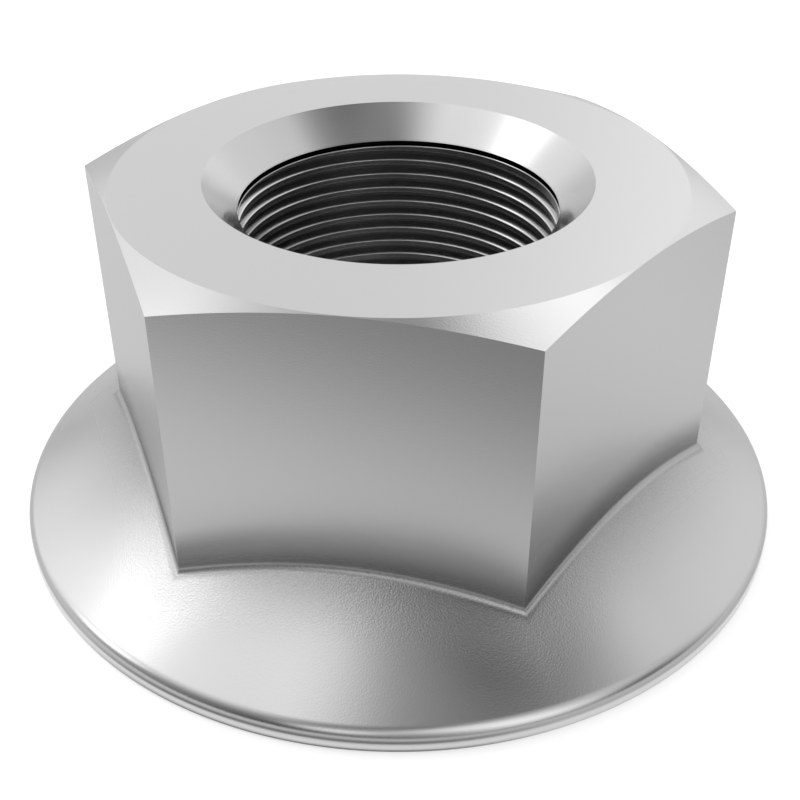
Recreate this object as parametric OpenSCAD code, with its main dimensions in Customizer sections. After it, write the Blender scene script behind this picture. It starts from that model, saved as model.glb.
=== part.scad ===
// Flanged blade nut: a hexagon forged in one piece with a wide conical flange.
// Origin at the centre of the flat bearing face, +Z along the thread to the hexagon's top.
// The hexagon's corners point along +X and -X, so two of its flats face +Y and -Y.

/* [Hexagon] */
// Width of the hexagon across its flats
hex_af = 34; // [30:0.5:38]
// Height of the whole nut
nut_h = 22; // [16:0.5:30]
// Slope of the cone turned on the hexagon's corners, in degrees
corner_slope = 20; // [10:1:35]
// Gap from the round top face to each flat
top_inset = 0.05; // [0.05:0.05:1]

/* [Flange] */
// Diameter of the flange
flange_d = 49.3; // [46:0.1:60]
// Fall of the flange's upper cone, in degrees
flange_slope = 30; // [20:1:36]
// Height at which the cone would meet the flange's outer wall as a sharp edge
rim_h = 1.36; // [1.2:0.02:4]
// Round between the cone and the flange's outer wall
rim_round = 1; // [0.4:0.1:1.2]
// Round between the flange's outer wall and the bearing face
seat_round = 0.4; // [0.1:0.05:0.5]
// Root fillet between the hexagon's flats and the cone
root_fillet = 0.6; // [0.3:0.1:1.5]

/* [Thread] */
// Diameter of the bore, measured on the crests of the thread
crest_d = 19.15; // [17:0.05:20]
// Diameter of the countersink at the top face
sink_d = 23.1; // [21.5:0.1:26]
// Angle of the countersink, from wall to wall, in degrees
sink_angle = 90; // [80:5:120]
// Diameter of the chamfer at the mouth in the bearing face
mouth_d = 20.6; // [20.1:0.1:24]
// Angle of that chamfer, from wall to wall, in degrees
mouth_angle = 90; // [60:5:120]

/* [Hidden] */

// Segments of a full circle
$fn = 128;
// How far cutting and buried solids reach past the surfaces that they meet
reach = 1;
// Sections of the root fillet along each flat, and steps across it
fillet_sections = 12;
fillet_steps = 5;
// How deep the fillet's arc is set into the flat and the cone, so that it cuts them cleanly
fillet_sink = 0.025;

hex_r = hex_af / 2;
corner_r = hex_r / cos(30);
flange_r = flange_d / 2;
top_r = hex_r - top_inset;
crest_r = crest_d / 2;
sink_r = sink_d / 2;
mouth_r = mouth_d / 2;

// Height of the flange's cone at distance r from the axis
function cone_z(r) = rim_h + (flange_r - r) * tan(flange_slope);

// Root fillet in the plane that stands on the axis at angle a from a flat's middle.
// The arc touches the flat at its top and the cone at its foot, and x is measured along the flat's normal.
function fall(a) = tan(flange_slope) / cos(a);
function arc_x() = hex_r + root_fillet - fillet_sink;
function arc_z(a) = cone_z(arc_x() / cos(a)) + (root_fillet - fillet_sink) * sqrt(1 + pow(fall(a), 2));
function arc_turn(a) = 90 - atan(fall(a));
function arc_point(a, turn) = [arc_x() - root_fillet * cos(turn), arc_z(a) - root_fillet * sin(turn)];
function section(a) = concat(
    [for (i = [0:fillet_steps]) arc_point(a, arc_turn(a) * i / fillet_steps)],
    [
        arc_point(a, arc_turn(a)) - [0, reach],
        [hex_r - reach, arc_z(a) - reach],
        [hex_r - reach, arc_z(a)]
    ]
);
function stand(p, a, side) = [p[0] * cos(side) - p[0] * tan(a) * sin(side),
    p[0] * sin(side) + p[0] * tan(a) * cos(side), p[1]];

// One closed ring of the fillet, mitred where two flats meet
module fillet_ring() {
    angles = [for (i = [0:fillet_sections - 1]) -30 + 60 * i / fillet_sections];
    ring = [for (side = [30:60:330]) for (a = angles) [for (p = section(a)) stand(p, a, side)]];
    rows = len(ring);
    columns = len(ring[0]);
    polyhedron(
        points = [for (row = ring) for (p = row) p],
        faces = [
            for (i = [0:rows - 1]) for (j = [0:columns - 1]) for (half = [0, 1])
                let (next_i = (i + 1) % rows, next_j = (j + 1) % columns)
                half == 0
                    ? [i * columns + j, next_i * columns + j, next_i * columns + next_j]
                    : [i * columns + j, next_i * columns + next_j, i * columns + next_j]
        ]
    );
}

// Hexagon with its corners turned off by the top cone
module hexagon() {
    intersection() {
        cylinder(r = corner_r, h = nut_h, $fn = 6);
        rotate_extrude()
            polygon([
                [0, 0],
                [corner_r + reach, 0],
                [corner_r + reach, nut_h - (corner_r + reach - top_r) * tan(corner_slope)],
                [top_r, nut_h],
                [0, nut_h]
            ]);
    }
}

// Flange: a cone with a rounded rim, buried in the hexagon's foot
module flange() {
    rim_z = rim_h - rim_round * tan((90 - flange_slope) / 2);
    touch_r = flange_r - rim_round + rim_round * sin(flange_slope);
    bury_r = hex_r - reach;
    rotate_extrude() {
        polygon([
            [0, 0],
            [flange_r - seat_round, 0],
            [flange_r - seat_round, seat_round],
            [flange_r, seat_round],
            [flange_r, rim_z],
            [touch_r, cone_z(touch_r)],
            [bury_r, cone_z(bury_r)],
            [0, cone_z(bury_r)]
        ]);
        translate([flange_r - seat_round, seat_round])
            circle(r = seat_round);
        intersection() {
            translate([flange_r - rim_round, rim_z])
                circle(r = rim_round);
            translate([flange_r - rim_round, rim_z])
                square(rim_round + reach);
        }
    }
}

// Bore at the thread's crests, open at both ends
module bore() {
    translate([0, 0, -reach])
        cylinder(r = crest_r, h = nut_h + 2 * reach);
}

// Cone that opens the bore: depth above its small end, radius at the face and half angle
module funnel(face_r, half_angle) {
    depth = face_r / tan(half_angle);
    rotate_extrude()
        polygon([
            [0, -depth],
            [face_r + reach * tan(half_angle), reach],
            [0, reach]
        ]);
}

module blade_nut() {
    color("silver")
        difference() {
            union() {
                hexagon();
                flange();
                fillet_ring();
            }
            bore();
            translate([0, 0, nut_h])
                funnel(sink_r, sink_angle / 2);
            mirror([0, 0, 1])
                funnel(mouth_r, mouth_angle / 2);
        }
}

blade_nut();
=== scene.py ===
# Flanged blade nut, forged and turned from one bar of steel, on a white studio floor.
# The frame's origin is the centre of the bearing face, and +Z runs up the thread.
import bpy
import math
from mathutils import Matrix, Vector


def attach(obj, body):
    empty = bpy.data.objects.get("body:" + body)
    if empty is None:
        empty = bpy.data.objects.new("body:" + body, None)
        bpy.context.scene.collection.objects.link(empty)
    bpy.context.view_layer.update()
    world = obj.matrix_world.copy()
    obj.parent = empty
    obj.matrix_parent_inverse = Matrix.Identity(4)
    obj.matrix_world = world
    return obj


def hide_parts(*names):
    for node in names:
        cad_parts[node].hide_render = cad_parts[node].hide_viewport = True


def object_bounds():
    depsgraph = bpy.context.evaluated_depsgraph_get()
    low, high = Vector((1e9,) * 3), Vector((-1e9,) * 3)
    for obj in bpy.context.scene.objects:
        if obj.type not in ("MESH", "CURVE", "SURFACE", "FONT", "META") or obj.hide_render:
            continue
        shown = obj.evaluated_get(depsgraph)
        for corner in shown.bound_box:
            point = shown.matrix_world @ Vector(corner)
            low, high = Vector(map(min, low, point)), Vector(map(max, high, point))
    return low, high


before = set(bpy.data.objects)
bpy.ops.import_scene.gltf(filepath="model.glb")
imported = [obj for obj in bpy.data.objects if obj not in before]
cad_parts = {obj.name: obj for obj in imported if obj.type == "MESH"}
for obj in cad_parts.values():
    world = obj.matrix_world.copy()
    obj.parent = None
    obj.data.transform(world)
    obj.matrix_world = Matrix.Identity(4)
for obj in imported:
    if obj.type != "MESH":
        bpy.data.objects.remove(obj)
cad_low, cad_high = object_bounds()

# The blank: a hexagon and a wide conical flange, hot forged in one piece of carbon steel.
# Its top, corners, countersink, rim and seat are turned on a lathe, and the bore is drilled for the tap.
# It is one closed skin of radial sections, with a sharp column at each of the hexagon's corners.
MM = 0.001
hex_r = 17 * MM
nut_h = cad_high.z
top_r = hex_r - 0.05 * MM
corner_slope = math.radians(20)
flange_r = cad_high.x
flange_slope = math.radians(30)
rim_h = 1.36 * MM
rim_round = 1 * MM
seat_round = 0.4 * MM
root_fillet = 0.6 * MM
crest_r = 9.575 * MM
sink_r = 11.55 * MM
mouth_r = 10.3 * MM
# A ring turned out under the countersink, where the thread ends; its lower edge carries a small round.
lip_r = 9.6 * MM
lip_z = nut_h - (sink_r - lip_r)
relief_r = 10.3 * MM
relief_low = nut_h - 2.3 * MM
burr = 0.06 * MM
# Narrow rows beside a blend keep the wide faces' shading flat.
margin = 0.06 * MM
columns = 240
arc_steps = 10
burr_steps = 3
cone_rows = 5


def cone_z(r):
    """Height of the flange's upper cone at distance r from the axis."""
    return rim_h + (flange_r - r) * math.tan(flange_slope)


def arc(centre, radius, start, end, steps):
    """Points of an arc in a radial section, with angles in degrees from the outward direction."""
    angles = [math.radians(start + (end - start) * i / steps) for i in range(steps + 1)]
    return [(centre[0] + radius * math.cos(t), centre[1] + radius * math.sin(t)) for t in angles]


def blank_section(azimuth):
    """One closed section of the blank, as (distance from the axis, height), at an azimuth in degrees."""
    off_middle = math.radians(azimuth % 60 - 30)
    stretch = 1 / math.cos(off_middle)
    flat_r = hex_r * stretch
    flat_top = nut_h - (flat_r - top_r) * math.tan(corner_slope)
    fall = math.tan(flange_slope) * stretch
    fillet_x = hex_r + root_fillet
    fillet_z = cone_z(fillet_x * stretch) + root_fillet * math.hypot(1, fall)
    foot = 270 - math.degrees(math.atan(fall))
    fillet = arc((fillet_x, fillet_z), root_fillet, 180, foot, arc_steps)
    fillet = [(x * stretch, z) for x, z in fillet]
    rim_z = rim_h - rim_round * math.tan((math.pi / 2 - flange_slope) / 2)
    rim = arc((flange_r - rim_round, rim_z), rim_round, 90 - math.degrees(flange_slope), 0, arc_steps)
    seat = arc((flange_r - seat_round, seat_round), seat_round, 0, -90, arc_steps)
    cone_in = fillet[-1][0] + margin
    cone_out = rim[0][0] - margin
    cone = [cone_in + (cone_out - cone_in) * i / (cone_rows - 1) for i in range(cone_rows)]
    edge = arc((crest_r + burr, relief_low - burr), burr, 180, 90, burr_steps)
    return (
        edge
        + [(relief_r, relief_low), (relief_r, lip_z), (lip_r, lip_z)]
        + [(sink_r, nut_h), (sink_r + margin, nut_h)]
        + [(top_r - margin, nut_h), (top_r, nut_h), (flat_r, flat_top)]
        + [(flat_r, flat_top - margin), (flat_r, fillet[0][1] + margin)]
        + fillet
        + [(r, cone_z(r)) for r in cone]
        + rim
        + seat
        + [(flange_r - seat_round - margin, 0), (mouth_r + margin, 0), (mouth_r, 0)]
        + [(crest_r, mouth_r - crest_r)]
    )


def ring_mesh(name, sections):
    """A closed skin through sections that stand at even azimuths round the axis."""
    rows = len(sections[0])
    points = []
    for i, section in enumerate(sections):
        azimuth = math.tau * i / len(sections)
        points += [(r * math.cos(azimuth), r * math.sin(azimuth), z) for r, z in section]
    faces = []
    for i in range(len(sections)):
        here = i * rows
        there = (i + 1) % len(sections) * rows
        for j in range(rows):
            up = (j + 1) % rows
            faces.append((here + j, here + up, there + up, there + j))
    mesh = bpy.data.meshes.new(name)
    mesh.from_pydata(points, [], faces)
    mesh.update()
    return mesh


blank_mesh = ring_mesh("blank", [blank_section(360 * i / columns) for i in range(columns)])
blank = bpy.data.objects.new("blank", blank_mesh)
bpy.context.scene.collection.objects.link(blank)

# The thread: M20 x 1, right-handed, cut by a tap through the drilled bore.
# The groove has flanks at 60 degrees to each other, and its crests are rounded over as the tap leaves them.
# The helix starts below the seat and runs out into the relief ring.
pitch = 1 * MM
root_r = 10.06 * MM
root_flat = 0.125 * MM
crest_round = 0.04 * MM
flank = math.radians(30)
# The crests' round turns from the flank to 15 degrees off the bore's wall. A straight run-in follows it,
# and the section ends inside the bore.
round_from = 240
round_to = 195
round_steps = 4
run_in = 0.02 * MM
inside = 0.1 * MM
thread_start = -2.235 * MM
turns = 21.9
steps_a_turn = 120


def groove_half():
    """Upper half of the groove's section, from its root inwards, as (distance past the crests, height)."""
    corner = crest_r + crest_round
    corner_z = root_flat / 2 + (root_r - corner) * math.tan(flank) + crest_round / math.cos(flank)
    bend = arc((crest_round, corner_z), crest_round, round_from, round_to, round_steps)
    last_r, last_z = bend[-1]
    last_z += (last_r + run_in) / math.tan(math.radians(round_to - 180))
    return [(root_r - crest_r, root_flat / 2)] + bend + [(-run_in, last_z), (-inside, last_z)]


upper = groove_half()
outline = upper + [(r, -z) for r, z in reversed(upper)]
groove_curve = bpy.data.curves.new("groove_section", "CURVE")
groove_curve.dimensions = "2D"
groove_curve.fill_mode = "NONE"
spline = groove_curve.splines.new("POLY")
spline.points.add(len(outline) - 1)
for point, (r, z) in zip(spline.points, outline):
    point.co = (r, z, 0, 1)
spline.use_cyclic_u = True
groove = bpy.data.objects.new("groove_section", groove_curve)
bpy.context.scene.collection.objects.link(groove)


def add(tree, kind, settings, *links, **inputs):
    """Adds a node with its settings, feeds its inputs by place or name, and returns its first output."""
    made = tree.nodes.new(kind)
    for key, value in settings.items():
        setattr(made, key, value)
    fed = list(zip(made.inputs, links))
    for key, value in inputs.items():
        name = key.replace("_", " ")
        fed.append((next(s for s in made.inputs if s.name == name and s.enabled), value))
    for socket, value in fed:
        if isinstance(value, bpy.types.NodeSocket):
            tree.links.new(value, socket)
        else:
            socket.default_value = value
    return next((s for s in made.outputs if s.enabled), made)


tap = bpy.data.node_groups.new("tap", "GeometryNodeTree")
tap.is_modifier = True
tap_inputs = {
    "Blank": "NodeSocketGeometry",
    "Groove": "NodeSocketObject",
    "Radius": "NodeSocketFloat",
    "Pitch": "NodeSocketFloat",
    "Turns": "NodeSocketFloat",
    "Steps": "NodeSocketInt",
    "Start": "NodeSocketVector",
    "Steel": "NodeSocketMaterial",
}
for name, kind in tap_inputs.items():
    tap.interface.new_socket(name, in_out="INPUT", socket_type=kind)
tap.interface.new_socket("Nut", in_out="OUTPUT", socket_type="NodeSocketGeometry")
given = tap.nodes.new("NodeGroupInput").outputs
length = add(tap, "ShaderNodeMath", {"operation": "MULTIPLY"}, given["Pitch"], given["Turns"])
helix = add(
    tap,
    "GeometryNodeCurveSpiral",
    {},
    Resolution=given["Steps"],
    Rotations=given["Turns"],
    Start_Radius=given["Radius"],
    End_Radius=given["Radius"],
    Height=length,
    Reverse=True,
)
placed = add(tap, "GeometryNodeSetPosition", {}, Geometry=helix, Offset=given["Start"])
upright = add(tap, "GeometryNodeSetCurveNormal", {"mode": "Z_UP"}, Curve=placed)
section = add(tap, "GeometryNodeObjectInfo", {}, Object=given["Groove"]).node.outputs["Geometry"]
swept = add(tap, "GeometryNodeCurveToMesh", {}, Curve=upright, Profile_Curve=section, Fill_Caps=True)
boolean = {"operation": "DIFFERENCE", "solver": "MANIFOLD"}
tapped = add(tap, "GeometryNodeMeshBoolean", boolean, Mesh_1=given["Blank"], Mesh_2=swept)
real = add(tap, "GeometryNodeRealizeInstances", {}, Geometry=tapped)
clad = add(tap, "GeometryNodeSetMaterial", {}, Geometry=real, Material=given["Steel"])
add(tap, "NodeGroupOutput", {}, Nut=clad)

# The surface: medium carbon steel, tumbled to a bright satin after the turning and tapping.
# Painted shade greys the cone towards the hexagon and darkens the hexagon's root, where the forging's
# pits and dull finish are drawn by bump and roughness. Painted shade also darkens the thread's grooves.
bright_steel = "#C6C6C6"
# The dark colour of the painted shade, also used by the random flecks on the pitted root.
painted_shade_and_fleck_grey = "#3C3C3C"
# Painted shade in the thread's groove and, darker, in the relief ring.
painted_groove_shade = "#A8A8A8"
painted_relief_shade = "#303030"
satin = 0.21
dull = 0.32
root_band = 0.4 * MM
root_shade_grey = 0.54
# The cone's painted shade grows from the first radius to the second, and fades above the cone.
grey_from = 24 * MM
grey_to = 17.4 * MM
cone_painted_shade = 0.44
grey_low = 0.3 * MM
grey_high = 1.5 * MM
# The forging's pits are finer than this, and are drawn 0.1 mm apart so that they show.
pit_gap = 0.1 * MM
pit_depth = 0.04 * MM
grain_on_satin = 0.04
grain_on_skin = 0.23
pit_fleck = 0.1
# The painted highlight along the fillet's bend fades out over the cone and away from the flat, and keeps
# only a share of the painted shade.
bend_low = 0.12 * MM
bend_high = 0.3 * MM
bend_near = 0.15 * MM
bend_far = 0.35 * MM
bend_shade_share = 0.45


def linear(code):
    """Linear RGBA of an sRGB hex colour."""
    parts = [int(code[i : i + 2], 16) / 255 for i in (1, 3, 5)]
    return [c / 12.92 if c <= 0.04045 else ((c + 0.055) / 1.055) ** 2.4 for c in parts] + [1]


steel = bpy.data.materials.new("tumbled_carbon_steel")
steel.use_nodes = True
paint = steel.node_tree
paint.nodes.clear()
smooth = {"interpolation_type": "SMOOTHSTEP"}
times = {"operation": "MULTIPLY"}
minus = {"operation": "SUBTRACT"}
times_plus = {"operation": "MULTIPLY_ADD"}
above = {"operation": "GREATER_THAN"}
below = {"operation": "LESS_THAN"}
dot = {"operation": "DOT_PRODUCT"}
span = {"operation": "LENGTH"}
colour = {"data_type": "RGBA"}
place = add(paint, "ShaderNodeTexCoord", {}).node.outputs["Object"]
height = add(paint, "ShaderNodeSeparateXYZ", {}, place).node.outputs["Z"]
level_place = add(paint, "ShaderNodeVectorMath", times, place, (1, 1, 0))
radius = add(paint, "ShaderNodeVectorMath", span, level_place).node.outputs["Value"]
# Distance past the nearest flat's plane, and height over the flange's cone.
mirrored = add(paint, "ShaderNodeVectorMath", {"operation": "ABSOLUTE"}, place)
front_side = add(paint, "ShaderNodeVectorMath", dot, mirrored, (0, 1, 0)).node.outputs["Value"]
slant = (math.sin(math.radians(60)), math.cos(math.radians(60)), 0)
slant_side = add(paint, "ShaderNodeVectorMath", dot, mirrored, slant).node.outputs["Value"]
side = add(paint, "ShaderNodeMath", {"operation": "MAXIMUM"}, front_side, slant_side)
past_flat = add(paint, "ShaderNodeMath", minus, side, hex_r)
lifted = add(paint, "ShaderNodeMath", times_plus, radius, math.tan(flange_slope), height)
over_cone = add(paint, "ShaderNodeMath", minus, lifted, cone_z(0))
from_root = add(paint, "ShaderNodeCombineXYZ", {}, past_flat, over_cone)


def near_root(cone_weight, flat_weight, far):
    """1 close to the hexagon's root and 0 at a weighted distance from it, along the cone and up the flat."""
    offset = add(paint, "ShaderNodeVectorMath", times, from_root, (cone_weight, flat_weight, 0))
    away = add(paint, "ShaderNodeVectorMath", span, offset).node.outputs["Value"]
    return add(paint, "ShaderNodeMapRange", smooth, Value=away, From_Min=far, From_Max=root_band)


grain = add(paint, "ShaderNodeTexNoise", {}, Vector=place, Scale=1 / pit_gap, Detail=0.0)
# Painted shade: the colour darkens close to the hexagon's root; the pits there are bump and roughness.
painted_root_shade = near_root(cone_weight=4.0, flat_weight=1.0, far=3.3 * MM)
pitted = near_root(cone_weight=1.0, flat_weight=3.0, far=4.2 * MM)
painted_root_shade = add(paint, "ShaderNodeMath", times, painted_root_shade, root_shade_grey)
# Painted shade: the cone darkens towards the hexagon.
inward = add(paint, "ShaderNodeMapRange", {}, Value=radius, From_Min=grey_from, From_Max=grey_to)
inward = add(paint, "ShaderNodeMath", times, inward, inward)
off_cone = add(paint, "ShaderNodeMath", {"operation": "ABSOLUTE"}, over_cone)
on_cone = add(
    paint,
    "ShaderNodeMapRange",
    smooth,
    Value=off_cone,
    From_Min=grey_high,
    From_Max=grey_low,
    To_Max=cone_painted_shade,
)
outside = add(paint, "ShaderNodeMath", above, past_flat, -margin)
painted_shade_share = add(paint, "ShaderNodeMath", times, inward, on_cone)
painted_shade_share = add(paint, "ShaderNodeMath", times, painted_shade_share, outside)
painted_shade_share = add(paint, "ShaderNodeMath", {"operation": "MAXIMUM"}, painted_shade_share, painted_root_shade)
# A painted highlight lightens the fillet's bend, as a line along the foot of each flat.
low_bend = add(paint, "ShaderNodeMapRange", smooth, Value=off_cone, From_Min=bend_high, From_Max=bend_low)
in_bend = add(paint, "ShaderNodeMapRange", smooth, Value=past_flat, From_Min=bend_far, From_Max=bend_near)
painted_bend_highlight = add(paint, "ShaderNodeMath", times, low_bend, in_bend)
shade_left_by_highlight = add(paint, "ShaderNodeMapRange", {}, Value=painted_bend_highlight, To_Min=1.0, To_Max=bend_shade_share)
painted_shade_share = add(paint, "ShaderNodeMath", times, painted_shade_share, shade_left_by_highlight)
fleck = add(paint, "ShaderNodeMapRange", {}, Value=grain, To_Min=-pit_fleck, To_Max=pit_fleck)
# The dark colour's share: painted shade and painted highlight, plus random flecks on the pitted root.
painted_shade_and_fleck = add(paint, "ShaderNodeMath", times_plus, fleck, pitted, painted_shade_share)
steel_with_painted_shade = add(paint, "ShaderNodeMix", colour, Factor=painted_shade_and_fleck, A=linear(bright_steel), B=linear(painted_shade_and_fleck_grey))
# Painted shade darkens the groove and the relief ring, clear of the crests, the lip and the mouth's chamfer.
deep_from = crest_r + burr
deep = add(paint, "ShaderNodeMapRange", {}, Value=radius, From_Min=deep_from, From_Max=deep_from + burr)
shallow = add(paint, "ShaderNodeMath", below, radius, relief_r + margin)
under_lip = add(paint, "ShaderNodeMath", below, height, lip_z + margin)
over_mouth = add(paint, "ShaderNodeMath", above, height, mouth_r - crest_r + margin)
groove_shade_mask = add(paint, "ShaderNodeMath", times, deep, shallow)
groove_shade_mask = add(paint, "ShaderNodeMath", times, groove_shade_mask, under_lip)
groove_shade_mask = add(paint, "ShaderNodeMath", times, groove_shade_mask, over_mouth)
in_relief = add(paint, "ShaderNodeMath", above, height, relief_low - margin)
groove_shade_colours = (linear(painted_groove_shade), linear(painted_relief_shade))
groove_shade_colour = add(paint, "ShaderNodeMix", colour, Factor=in_relief, A=groove_shade_colours[0], B=groove_shade_colours[1])
tinted = add(paint, "ShaderNodeMix", colour, Factor=groove_shade_mask, A=steel_with_painted_shade, B=groove_shade_colour)
roughness = add(paint, "ShaderNodeMapRange", {}, Value=pitted, To_Min=satin, To_Max=dull)
depth = add(paint, "ShaderNodeMapRange", {}, Value=pitted, To_Min=grain_on_satin, To_Max=grain_on_skin)
bump = add(paint, "ShaderNodeBump", {}, Height=grain, Strength=depth, Distance=pit_depth)
shader = add(
    paint,
    "ShaderNodeBsdfPrincipled",
    {},
    Base_Color=tinted,
    Metallic=1.0,
    Roughness=roughness,
    Normal=bump,
)
add(paint, "ShaderNodeOutputMaterial", {}, Surface=shader)

modifier = blank.modifiers.new("tap", "NODES")
modifier.node_group = tap
socket_of = {item.name: item.identifier for item in tap.interface.items_tree if item.in_out == "INPUT"}
tap_values = {
    "Groove": groove,
    "Radius": crest_r,
    "Pitch": pitch,
    "Turns": turns,
    "Steps": steps_a_turn,
    "Start": (0, 0, thread_start),
    "Steel": steel,
}
for name, value in tap_values.items():
    modifier[socket_of[name]] = value
cut = blank.evaluated_get(bpy.context.evaluated_depsgraph_get())
nut = bpy.data.objects.new("nut", bpy.data.meshes.new_from_object(cut))
bpy.context.scene.collection.objects.link(nut)
for scaffold in (blank, groove):
    bpy.data.objects.remove(scaffold)
# The rounds turn less than this at each of their steps, and the real edges turn more.
sharp_from = math.radians(14)
nut.data.shade_smooth()
nut.data.set_sharp_from_angle(angle=sharp_from)
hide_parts("blade_nut")
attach(nut, "root")

# The studio: dim walls all round, with soft lights and dark openings that the bright steel mirrors.
# Each has its direction and half width in degrees, and what it adds to the walls at its middle.
# The camera itself sees plain white behind the nut.
wall_level = 0.15
room_parts = {
    "wide softbox at the left": (206, 20, 86, 1.44),
    "lamp high in that softbox": (164, 49, 16, 1.6),
    "bare lamp beside it": (182, 44, 10, 0.6),
    "lamp low in that softbox": (193, 25, 14, 1.5),
    "lamp overhead": (189, 71, 15, 0.35),
    "lamp overhead at the left": (238, 68, 12, 0.24),
    "small lamp right overhead": (222, 78, 10, 0.45),
    "low lamp behind on the left": (147, 11, 14, 0.12),
    "lamp behind on the right": (62, 58, 18, 0.98),
    "softbox behind": (104, 28, 47, 0.89),
    "softbox at the right": (39, 25, 55, 0.87),
    "lamp in the right softbox": (12, 49, 9, 0.2),
    "window at the front right": (-38, 35, 36, 0.67),
    "low window in front": (-68, 11, 50, 0.87),
    "strip light over the camera": (-98, 24, 14, 0.7),
    "dark room behind the camera": (-123, -7, 80, -1.34),
    "dark ceiling in front": (-90, 56, 21, -0.36),
    "dark ceiling overhead": (350, 68, 16, -0.12),
}
world = bpy.data.worlds.new("studio")
bpy.context.scene.world = world
world.use_nodes = True
room = world.node_tree
room.nodes.clear()
toward = add(room, "ShaderNodeTexCoord", {}).node.outputs["Generated"]
level = wall_level
for azimuth, elevation, half_width, gain in room_parts.values():
    across = math.radians(azimuth)
    climb = math.radians(elevation)
    aim = (math.cos(across) * math.cos(climb), math.sin(across) * math.cos(climb), math.sin(climb))
    facing = add(room, "ShaderNodeVectorMath", dot, toward, aim).node.outputs["Value"]
    patch = add(
        room,
        "ShaderNodeMapRange",
        smooth,
        Value=facing,
        From_Min=math.cos(math.radians(half_width)),
        From_Max=1.0,
        To_Max=gain,
    )
    level = add(room, "ShaderNodeMath", {"operation": "ADD"}, level, patch)
level = add(room, "ShaderNodeMath", {"operation": "MAXIMUM"}, level, 0.0)
seen = add(room, "ShaderNodeLightPath", {}).node.outputs["Is Camera Ray"]
shown = add(room, "ShaderNodeMix", {}, Factor=seen, A=level, B=1.0)
sky = add(room, "ShaderNodeBackground", {}, Color=(1, 1, 1, 1), Strength=shown)
add(room, "ShaderNodeOutputWorld", {}, Surface=sky)

# The floor: a sheet of white paper. To the camera it glows up to white and still takes the nut's shadow.
# The steel sees it bright round the nut, darker under the rim, and fading into the dark room in front.
paper_tone = 0.6
glow_to_camera = 0.6
glow_to_steel = 0.34
glow_at_foot = 0.75
floor_half = 0.6
floor_mesh = bpy.data.meshes.new("floor")
floor_corners = [(x * floor_half, y * floor_half, 0) for x, y in ((-1, -1), (1, -1), (1, 1), (-1, 1))]
floor_mesh.from_pydata(floor_corners, [], [(0, 1, 2, 3)])
floor = bpy.data.objects.new("floor", floor_mesh)
bpy.context.scene.collection.objects.link(floor)
paper = bpy.data.materials.new("white_paper")
paper.use_nodes = True
sheet = paper.node_tree
sheet.nodes.clear()
rays = add(sheet, "ShaderNodeLightPath", {}).node.outputs
spot = add(sheet, "ShaderNodeTexCoord", {}).node.outputs["Object"]
# To the steel the paper gets darker towards the room in front, and is a little darker behind the nut.
dark_heading = math.radians(-69)
front_from = 21 * MM
front_to = 52 * MM
front_share = 0.36
back_from = -12 * MM
back_to = 8 * MM
back_share = 0.84
front = (math.cos(dark_heading), math.sin(dark_heading), 0)
ahead = add(sheet, "ShaderNodeVectorMath", dot, spot, front).node.outputs["Value"]
fade = add(
    sheet,
    "ShaderNodeMapRange",
    smooth,
    Value=ahead,
    From_Min=front_from,
    From_Max=front_to,
    To_Min=1.0,
    To_Max=front_share,
)
behind = add(
    sheet,
    "ShaderNodeMapRange",
    smooth,
    Value=ahead,
    From_Min=back_from,
    From_Max=back_to,
    To_Min=back_share,
)
fade = add(sheet, "ShaderNodeMath", times, fade, behind)
# The rim mirrors marks painted on the paper that the camera doesn't see, close round the seat: in front of
# the nut a line of painted shade right under the seat's round, then a streak of painted light and a band of
# painted shade. Their places are distances from the nut's axis, and the line and the band are strongest
# round one heading.
line_full = 24.8 * MM
line_end = 25.05 * MM
line_weight = 1.4
streak_full = 25.2 * MM
streak_end = 25.7 * MM
band_full = 25.8 * MM
band_end = 28.5 * MM
band_heading = math.radians(-95)
band_near = math.radians(12)
band_far = math.radians(38)
band_most = 0.7
band_least = 0.15
band_front = (math.cos(band_heading), math.sin(band_heading), 0)
distance = add(sheet, "ShaderNodeVectorMath", span, spot).node.outputs["Value"]
foot = add(sheet, "ShaderNodeMapRange", smooth, Value=distance, From_Min=streak_full, From_Max=band_full)
beyond = add(sheet, "ShaderNodeMapRange", smooth, Value=distance, From_Min=band_end, From_Max=band_full)
heading = add(sheet, "ShaderNodeVectorMath", {"operation": "NORMALIZE"}, spot)
turned = add(sheet, "ShaderNodeVectorMath", dot, heading, band_front).node.outputs["Value"]
turned = add(
    sheet,
    "ShaderNodeMapRange",
    smooth,
    Value=turned,
    From_Min=math.cos(band_far),
    From_Max=math.cos(band_near),
    To_Min=band_least,
    To_Max=band_most,
)
# Painted shade: a darker band on the paper beside the rim, hidden from the camera.
band = add(sheet, "ShaderNodeMath", times, foot, beyond)
band = add(sheet, "ShaderNodeMath", times, band, turned)
clear = add(sheet, "ShaderNodeMath", minus, 1.0, band)
steel_sees = add(sheet, "ShaderNodeMath", times, fade, clear)
seen_tone = add(sheet, "ShaderNodeMix", {}, Factor=rays["Is Camera Ray"], A=steel_sees, B=1.0)
tone = add(sheet, "ShaderNodeMath", times, seen_tone, paper_tone)
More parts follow.
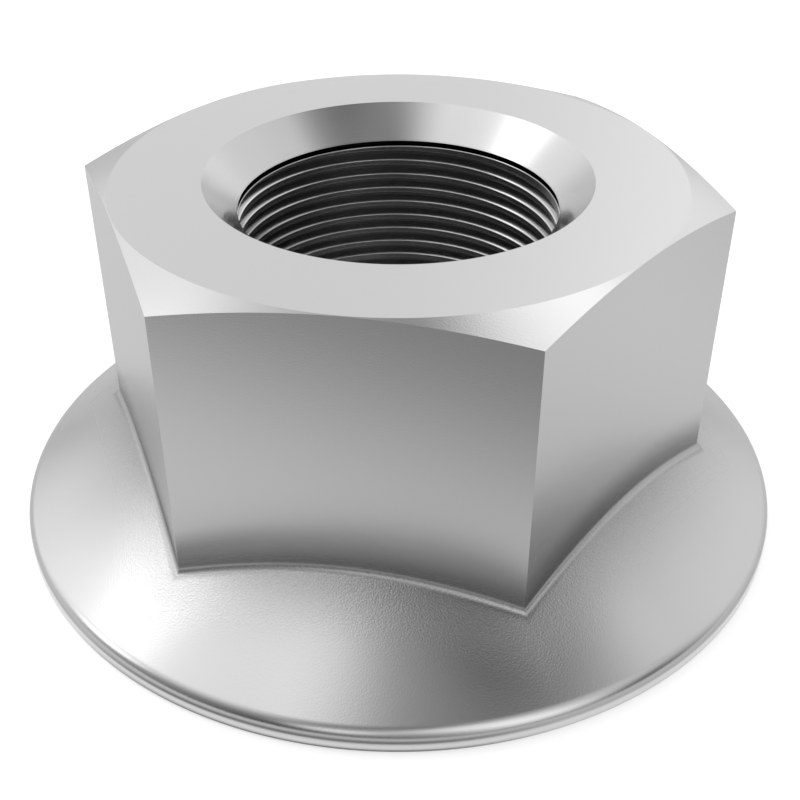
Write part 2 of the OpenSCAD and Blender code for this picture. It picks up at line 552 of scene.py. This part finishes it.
# Painted shade: a dark line on the paper under the seat's round, seen only by the steel.
painted_shade_line = add(
    sheet,
    "ShaderNodeMapRange",
    smooth,
    Value=distance,
    From_Min=line_end,
    From_Max=line_full,
    To_Max=line_weight,
)
painted_shade_line = add(sheet, "ShaderNodeMath", times, painted_shade_line, turned)
under = add(sheet, "ShaderNodeMath", minus, 1.0, painted_shade_line)
# Painted light: a brighter glow on the paper at the nut's foot, seen only by the steel.
streak = add(
    sheet,
    "ShaderNodeMapRange",
    smooth,
    Value=distance,
    From_Min=streak_end,
    From_Max=streak_full,
    To_Min=glow_to_steel,
    To_Max=glow_at_foot,
)
# Little light comes from under the nut, which keeps the bore dark.
cover_from = 22 * MM
cover_to = 24 * MM
cover_share = 0.1
covered = add(
    sheet,
    "ShaderNodeMapRange",
    smooth,
    Value=distance,
    From_Min=cover_from,
    From_Max=cover_to,
    To_Min=cover_share,
)
to_steel = add(sheet, "ShaderNodeMath", times, steel_sees, under)
to_steel = add(sheet, "ShaderNodeMath", times, to_steel, covered)
to_steel = add(sheet, "ShaderNodeMath", times, to_steel, rays["Is Glossy Ray"])
to_steel = add(sheet, "ShaderNodeMath", times, to_steel, streak)
glow = add(sheet, "ShaderNodeMath", times_plus, rays["Is Camera Ray"], glow_to_camera, to_steel)
matt = add(sheet, "ShaderNodeBsdfDiffuse", {}, Color=tone)
light = add(sheet, "ShaderNodeEmission", {}, Strength=glow)
both = add(sheet, "ShaderNodeAddShader", {}, matt, light)
add(sheet, "ShaderNodeOutputMaterial", {}, Surface=both)
floor_mesh.materials.append(paper)

# The camera stands close, a little to the right of the front flat, and looks down on the nut.
camera_data = bpy.data.cameras.new("camera")
camera_data.sensor_width = 36
camera_data.lens = 54.4
camera_data.clip_start = 1 * MM
camera = bpy.data.objects.new("camera", camera_data)
bpy.context.scene.collection.objects.link(camera)
target = Vector((0, 0.57, 5.34)) * MM
reach = 81.2 * MM
swing = math.radians(9.4)
tilt = math.radians(34.32)
back = Vector((math.sin(swing) * math.cos(tilt), -math.cos(swing) * math.cos(tilt), math.sin(tilt)))
camera.location = target + reach * back
camera.rotation_euler = back.to_track_quat("Z", "Y").to_euler()
bpy.context.scene.camera = camera
bpy.context.scene.view_settings.view_transform = "Standard"
